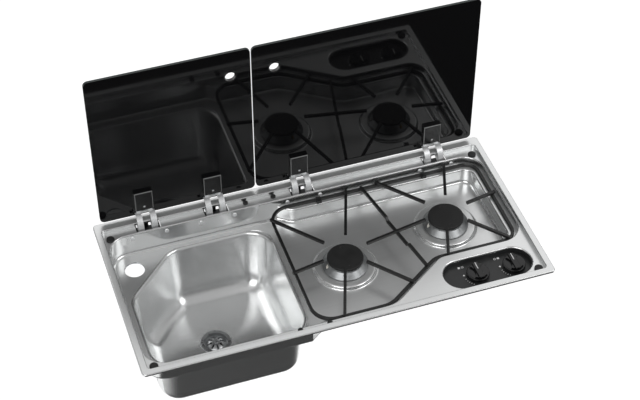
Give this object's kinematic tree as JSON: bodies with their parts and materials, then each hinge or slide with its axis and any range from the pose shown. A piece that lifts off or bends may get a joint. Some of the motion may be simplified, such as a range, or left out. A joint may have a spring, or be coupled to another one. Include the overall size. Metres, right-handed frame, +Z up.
{
  "type": "hob and sink unit",
  "caption": "Drop-in stainless kitchen unit: a sink bowl with tap hole beside a gas hob with wire pan support, under hinged black glass lids.",
  "frame": {"origin": "middle of the plate, at the level of the worktop that the rim rests on", "axes": "+X to the hob end, +Y to the hinge side at the back, +Z up"},
  "size_m": [0.76, 0.3748, 0.57],
  "materials": {
    "stainless": "satin pressed",
    "black_glass": "polished",
    "black_plastic": "fine grain",
    "rubber": "matt",
    "zinc_steel": "bright zinc",
    "black_enamel": "satin enamel",
    "cast_aluminium": "cast",
    "brass": "drawn",
    "ceramic": "glazed"
  },
  "bodies": {
    "unit": {"burner_body_1": "cast_aluminium", "burner_body_2": "cast_aluminium", "burner_cap_1": "black_enamel", "burner_cap_2": "black_enamel", "burner_spreader_1": "cast_aluminium", "burner_spreader_2": "cast_aluminium", "control_panel": "black_plastic", "gas_manifold": "brass", "gas_pipes": "brass", "gas_tap_1": "brass", "gas_tap_2": "brass", "hinge_bracket_screws": "zinc_steel", "hinge_brackets": "zinc_steel", "hinge_pins": "zinc_steel", "hob_floor": "stainless", "hob_wall": "stainless", "ignition_electrodes": "ceramic", "lid_bumpers": "rubber", "pan_support_clips": "black_plastic", "pan_support_divider": "black_enamel", "pan_support_fingers": "black_enamel", "pan_support_frame": "black_enamel", "rim_seal": "rubber", "sink_bowl": "stainless", "sink_deck": "stainless", "sink_wall": "stainless", "tap_bracket": "zinc_steel", "tap_hole_plate": "stainless", "tap_screws": "zinc_steel", "thermocouples": "brass", "top_plate": "stainless", "waste_body": "black_plastic", "waste_flange": "stainless", "waste_gasket": "rubber", "waste_nut": "zinc_steel", "waste_screw": "zinc_steel", "waste_spigot": "black_plastic", "waste_strainer": "stainless"},
    "hob_lid": {"hob_lid_cover_screws": "zinc_steel", "hob_lid_finger_ring": "black_plastic", "hob_lid_glass": "black_glass", "hob_lid_hinge_cover_left": "black_plastic", "hob_lid_hinge_cover_right": "black_plastic", "hob_lid_hinge_leaf_left": "zinc_steel", "hob_lid_hinge_leaf_right": "zinc_steel", "hob_lid_hinge_pads": "rubber"},
    "knob_1": {"knob_1": "black_plastic", "knob_spindle_1": "brass"},
    "knob_2": {"knob_2": "black_plastic", "knob_spindle_2": "brass"},
    "sink_lid": {"sink_lid_cover_screws": "zinc_steel", "sink_lid_finger_ring": "black_plastic", "sink_lid_glass": "black_glass", "sink_lid_hinge_cover_left": "black_plastic", "sink_lid_hinge_cover_right": "black_plastic", "sink_lid_hinge_leaf_left": "zinc_steel", "sink_lid_hinge_leaf_right": "zinc_steel", "sink_lid_hinge_pads": "rubber"},
    "tap_push_1": {"tap_plunger_1": "brass"},
    "tap_push_2": {"tap_plunger_2": "brass"}
  },
  "joints": [
    {"name": "sink_lid_hinge", "type": "hinge", "parent": "unit", "child": "sink_lid", "pos_m": [0, 0.1783, -0.0042], "axis": [1, 0, 0], "range_deg": [0, 90]},
    {"name": "hob_lid_hinge", "type": "hinge", "parent": "unit", "child": "hob_lid", "pos_m": [0, 0.1783, -0.0042], "axis": [1, 0, 0], "range_deg": [0, 90]},
    {"name": "knob_1_push", "type": "slide", "parent": "unit", "child": "tap_push_1", "axis": [0, 0, -1], "range_m": [0, 0.003], "stiffness_N_per_m": 2000, "springref_m": -0.002},
    {"name": "knob_1_turn", "type": "hinge", "parent": "tap_push_1", "child": "knob_1", "pos_m": [0.2525, -0.13365, -0.0145], "axis": [0, 0, 1], "range_deg": [0, 195]},
    {"name": "knob_2_push", "type": "slide", "parent": "unit", "child": "tap_push_2", "axis": [0, 0, -1], "range_m": [0, 0.003], "stiffness_N_per_m": 2000, "springref_m": -0.002},
    {"name": "knob_2_turn", "type": "hinge", "parent": "tap_push_2", "child": "knob_2", "pos_m": [0.3225, -0.13365, -0.0145], "axis": [0, 0, 1], "range_deg": [0, 195]}
  ]
}
